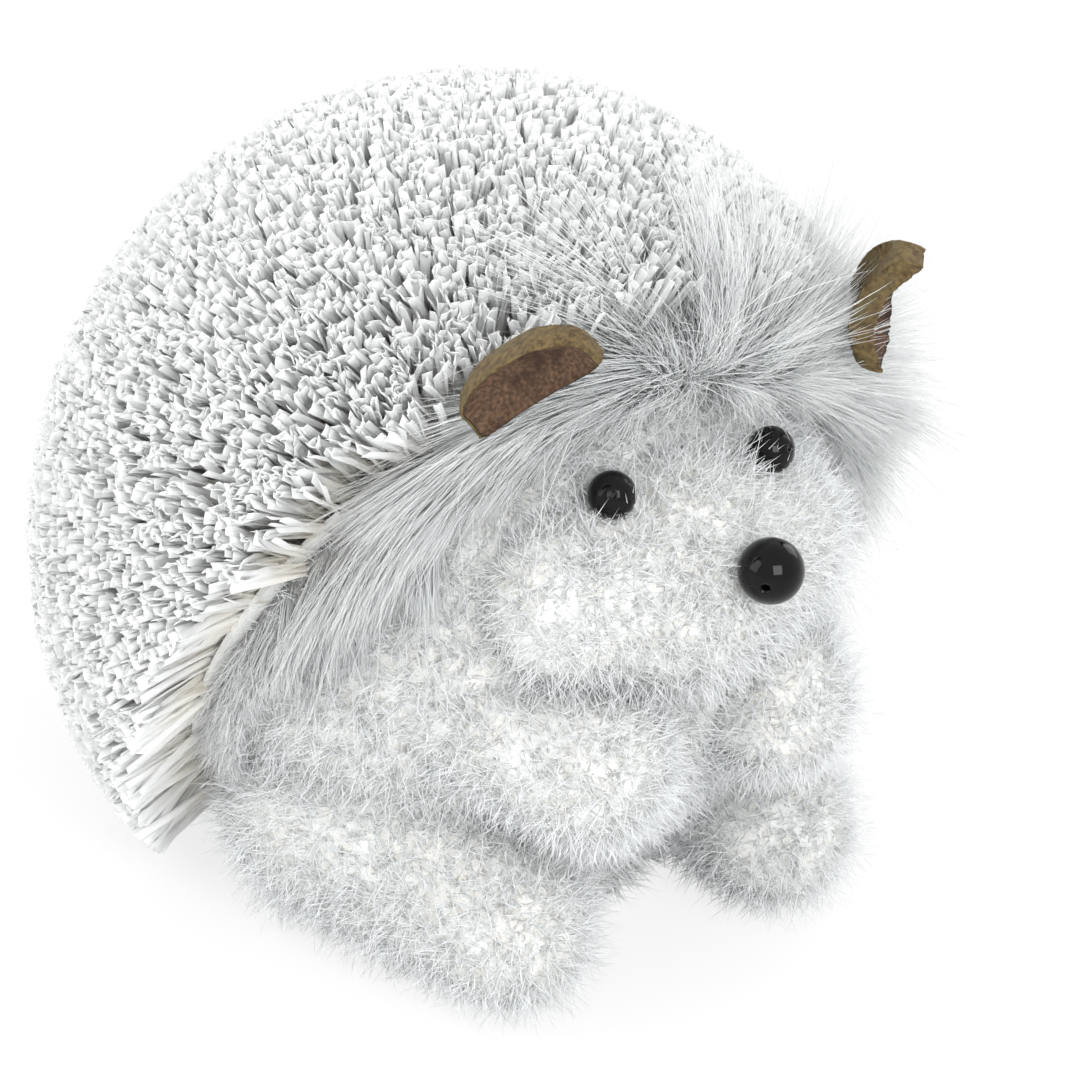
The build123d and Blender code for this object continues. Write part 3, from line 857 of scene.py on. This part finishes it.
ruff_pile("ruff_pile_right", math.radians(-112), math.radians(-44), chance)
ruff_pile("ruff_pile_brow", math.radians(-44), math.radians(-8), chance)
ruff_pile("ruff_pile_crest", math.radians(-6), math.radians(38), chance)
ruff_pile("ruff_pile_left", math.radians(30), math.radians(112), chance)

selvedge_look = Look("selvedge", Roughness=0.85, Specular_IOR_Level=0.2)
selvedge_threads = selvedge_look.noise(3500.0, 2.0)
selvedge_look.colour(selvedge_look.mix(selvedge_threads, (0.74, 0.74, 0.71), (0.93, 0.94, 0.94)))
selvedge_look.bump(selvedge_threads, 0.0003)
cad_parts["ruff_selvedge"].data.materials.clear()
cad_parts["ruff_selvedge"].data.materials.append(selvedge_look.material)


# The ears: slices of a dried pod, with a hollow red-brown face and a ribbed olive rind. Each is
# set on edge in the ruff. Its outline is a low arch whose rind is wavy and wider at the top.

ear_length = 0.030
ear_thickness = 0.0050
ear_foot = np.array([0.0365, -0.0590, 0.1268])
ear_slice_share = 0.90
ear_slice_height = 0.0085
ear_slice_lift = 0.0030
ear_slice_sag = 0.0016
ear_slice_base = 0.001
join_ring = 8
ear_turns = {-1: (0.0, 10.0), 1: (0.0, -40.0)}
ear_curls = {-1: 0.0020, 1: 0.0058}
ear_bluntness = {-1: 0.50, 1: 0.32}
ear_flares = {-1: 0.5, 1: 0.6}
ear_rise = np.array([0.50, 0.25, 0.83])
ear_face = np.array([0.65, -0.74, -0.18])

pod_look = Look("pod_rind", Roughness=0.7, Specular_IOR_Level=0.35)
pod_grain = pod_look.noise(900.0, 4.0)
pod_stain = pod_look.noise(220.0, 3.0)
rind_colour = pod_look.mix(pod_grain.between(0.3, 0.7), (0.070, 0.044, 0.016), (0.175, 0.118, 0.045))
pod_look.colour(pod_look.mix(pod_stain.between(0.5, 0.75), rind_colour, (0.115, 0.095, 0.040)))
pod_look.bump(pod_grain, 0.0004)

face_look = Look("pod_face", Roughness=0.75, Specular_IOR_Level=0.3)
face_grain = face_look.noise(1400.0, 4.0)
face_stain = face_look.noise(160.0, 3.0)
flesh_colour = face_look.mix(face_grain.between(0.3, 0.75), (0.055, 0.031, 0.018), (0.150, 0.085, 0.050))
face_look.colour(face_look.mix(face_stain.between(0.5, 0.7), flesh_colour, (0.035, 0.016, 0.010)))
face_look.bump(face_grain, 0.0004)
join_look = Look("pod_join", Base_Color=(0.02, 0.014, 0.008, 1), Roughness=0.9)


def ear_slice(name, hand, draw):
    """A slice of pod: rings go from the middle of the back over the rind to the middle of the face.
    Each ring follows the low arch, drawn in by its share, and stands at its own height off the
    middle plane; the rind waves along the arch and is wider near the top."""
    rise = unit(ear_rise * np.array([hand, 1, 1]))
    face = unit(ear_face * np.array([hand, 1, 1]))
    face = unit(face - rise * (face @ rise))
    swing, tip = np.radians(ear_turns[hand])
    along = np.cross(rise, face)
    face, along = (
        face * math.cos(swing) + along * math.sin(swing),
        along * math.cos(swing) - face * math.sin(swing),
    )
    rise, along = (
        rise * math.cos(tip) - along * math.sin(tip),
        along * math.cos(tip) + rise * math.sin(tip),
    )
    foot = ear_foot * np.array([hand, 1, 1]) + rise * ear_slice_lift
    turn = np.linspace(0, 2 * math.pi, 96, endpoint=False)
    level = np.sin(turn)
    arch_x = np.sign(np.cos(turn)) * np.abs(np.cos(turn)) ** 0.62 * ear_slice_share * ear_length / 2
    arch_top = np.abs(level) ** ear_bluntness[hand] * ear_slice_height
    arch_y = np.where(level > 0, arch_top, level * ear_slice_sag) + ear_slice_base
    waves = sum(
        draw.normal(0, size) * np.sin(turn * count + draw.uniform(0, 6.28))
        for count, size in ((3, 0.00035), (5, 0.0003), (9, 0.0002), (17, 0.0001))
    )
    drawn_in = np.array(
        [0.02, 0.5, 0.80, 0.93, 0.985, 1.0, 0.995, 0.97, 0.93, 0.915, 0.80, 0.62, 0.35, 0.02]
    )
    height = np.array(
        [-0.55, -0.62, -0.85, -0.98, -0.8, -0.2, 0.45, 0.9, 1.0, 0.93, 0.70, 0.38, 0.16, 0.05]
    )
    centre_y = ear_slice_height * 0.42
    wide = 1 + ear_flares[hand] * np.clip(level, 0, 1) * (drawn_in[:, None] > 0.8)
    x = arch_x[None] * drawn_in[:, None]
    y = centre_y + (arch_y[None] - centre_y) * drawn_in[:, None]
    rim_wave = waves[None] * smooth_step(drawn_in, 0.6, 0.95)[:, None]
    x = x * (1 + rim_wave / (ear_length / 2))
    y = y + rim_wave * np.clip(level, 0, 1)[None]
    ribs = 0.00012 * np.sin(turn * 46)[None] * smooth_step(drawn_in, 0.8, 0.98)[:, None]
    z = (height[:, None] * ear_thickness / 2) * wide + rim_wave * 0.6 + ribs
    curl = ear_curls[hand] * (x / (ear_length / 2)) ** 2
    points = foot + along * x[..., None] + rise * (y + ribs)[..., None] + face * (z + curl)[..., None]
    polygons = closed_polygons(*points.shape[:2])
    made = mesh_object(name, points, polygons, pod_look.material)
    made.data.materials.append(face_look.material)
    made.data.materials.append(join_look.material)
    rows = np.repeat(np.arange(len(drawn_in) - 1), len(turn))
    wall_slots = np.where(rows == join_ring, 2, np.where(rows > join_ring, 1, 0))
    slots = np.concatenate([wall_slots, [0, 1]]).astype(np.int32)
    made.data.polygons.foreach_set("material_index", slots)
    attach(made, "root")
    return made


for hand, hand_name in ((-1, "right"), (1, "left")):
    ear = ear_slice(f"{hand_name}_ear_slice", hand, np.random.default_rng(31 + hand))
    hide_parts(f"{hand_name}_ear")


# The eyes and the nose: glossy black beads, each glued in the fur with its thread hole showing.

bead_look = Look("black_bead", Roughness=0.06, Specular_IOR_Level=0.2)
bead_wear = bead_look.noise(400.0, 3.0)
bead_look.colour(bead_look.mix(bead_wear, (0.002, 0.002, 0.002), (0.005, 0.005, 0.005)))
bead_look.bump(bead_look.noise(180.0, 1.0), 0.00006)

eye_place = np.array([0.019, -0.0575, 0.1045])
eye_radius = 0.0044
eye_bore_radius = 0.0007
nose_place = np.array([0.0, -0.080, 0.095])
nose_radius = 0.0060
nose_bore_radius = 0.0009
bore_wall_share = 0.96
bore_depth_share = 0.6


def bead(name, place, radius, bore_radius, bore_way, node):
    """A bead turned about its bore: rings over the ball from one end to the other, and back in."""
    edge = math.asin(bore_radius / radius)
    angle = np.linspace(edge, math.pi - edge, 40)
    wall = bore_radius * bore_wall_share
    depth = radius * bore_depth_share
    ring_radius = np.concatenate([radius * np.sin(angle), [wall, wall]])
    ring_place = np.concatenate([-radius * np.cos(angle), [depth, -depth]])
    turn = np.linspace(0, 2 * math.pi, 64, endpoint=False)
    way = unit(np.array(bore_way))
    across = unit(np.cross(way, np.array([0.3, 0.5, 0.8])))
    rise = np.cross(way, across)
    spokes = across * np.cos(turn)[:, None] + rise * np.sin(turn)[:, None]
    points = place + way * ring_place[:, None, None] + spokes[None] * ring_radius[:, None, None]
    index = np.arange(points.shape[0] * points.shape[1]).reshape(points.shape[:2])
    closed = np.concatenate([index, index[:1]])
    right = np.roll(closed, -1, axis=1)
    quads = np.stack([closed[:-1], right[:-1], right[1:], closed[1:]], axis=-1)
    made = mesh_object(name, points, [quads], bead_look.material)
    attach(made, "root")
    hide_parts(node)


for hand, hand_name, bore_way in ((-1, "right", (-0.60, -0.66, 0.45)), (1, "left", (0.2, -0.9, 0.4))):
    place = eye_place * np.array([hand, 1, 1])
    bead(f"{hand_name}_eye_bead", place, eye_radius, eye_bore_radius, bore_way, f"{hand_name}_eye")
bead("nose_bead", nose_place, nose_radius, nose_bore_radius, (-0.78, -0.62, -0.10), "nose")
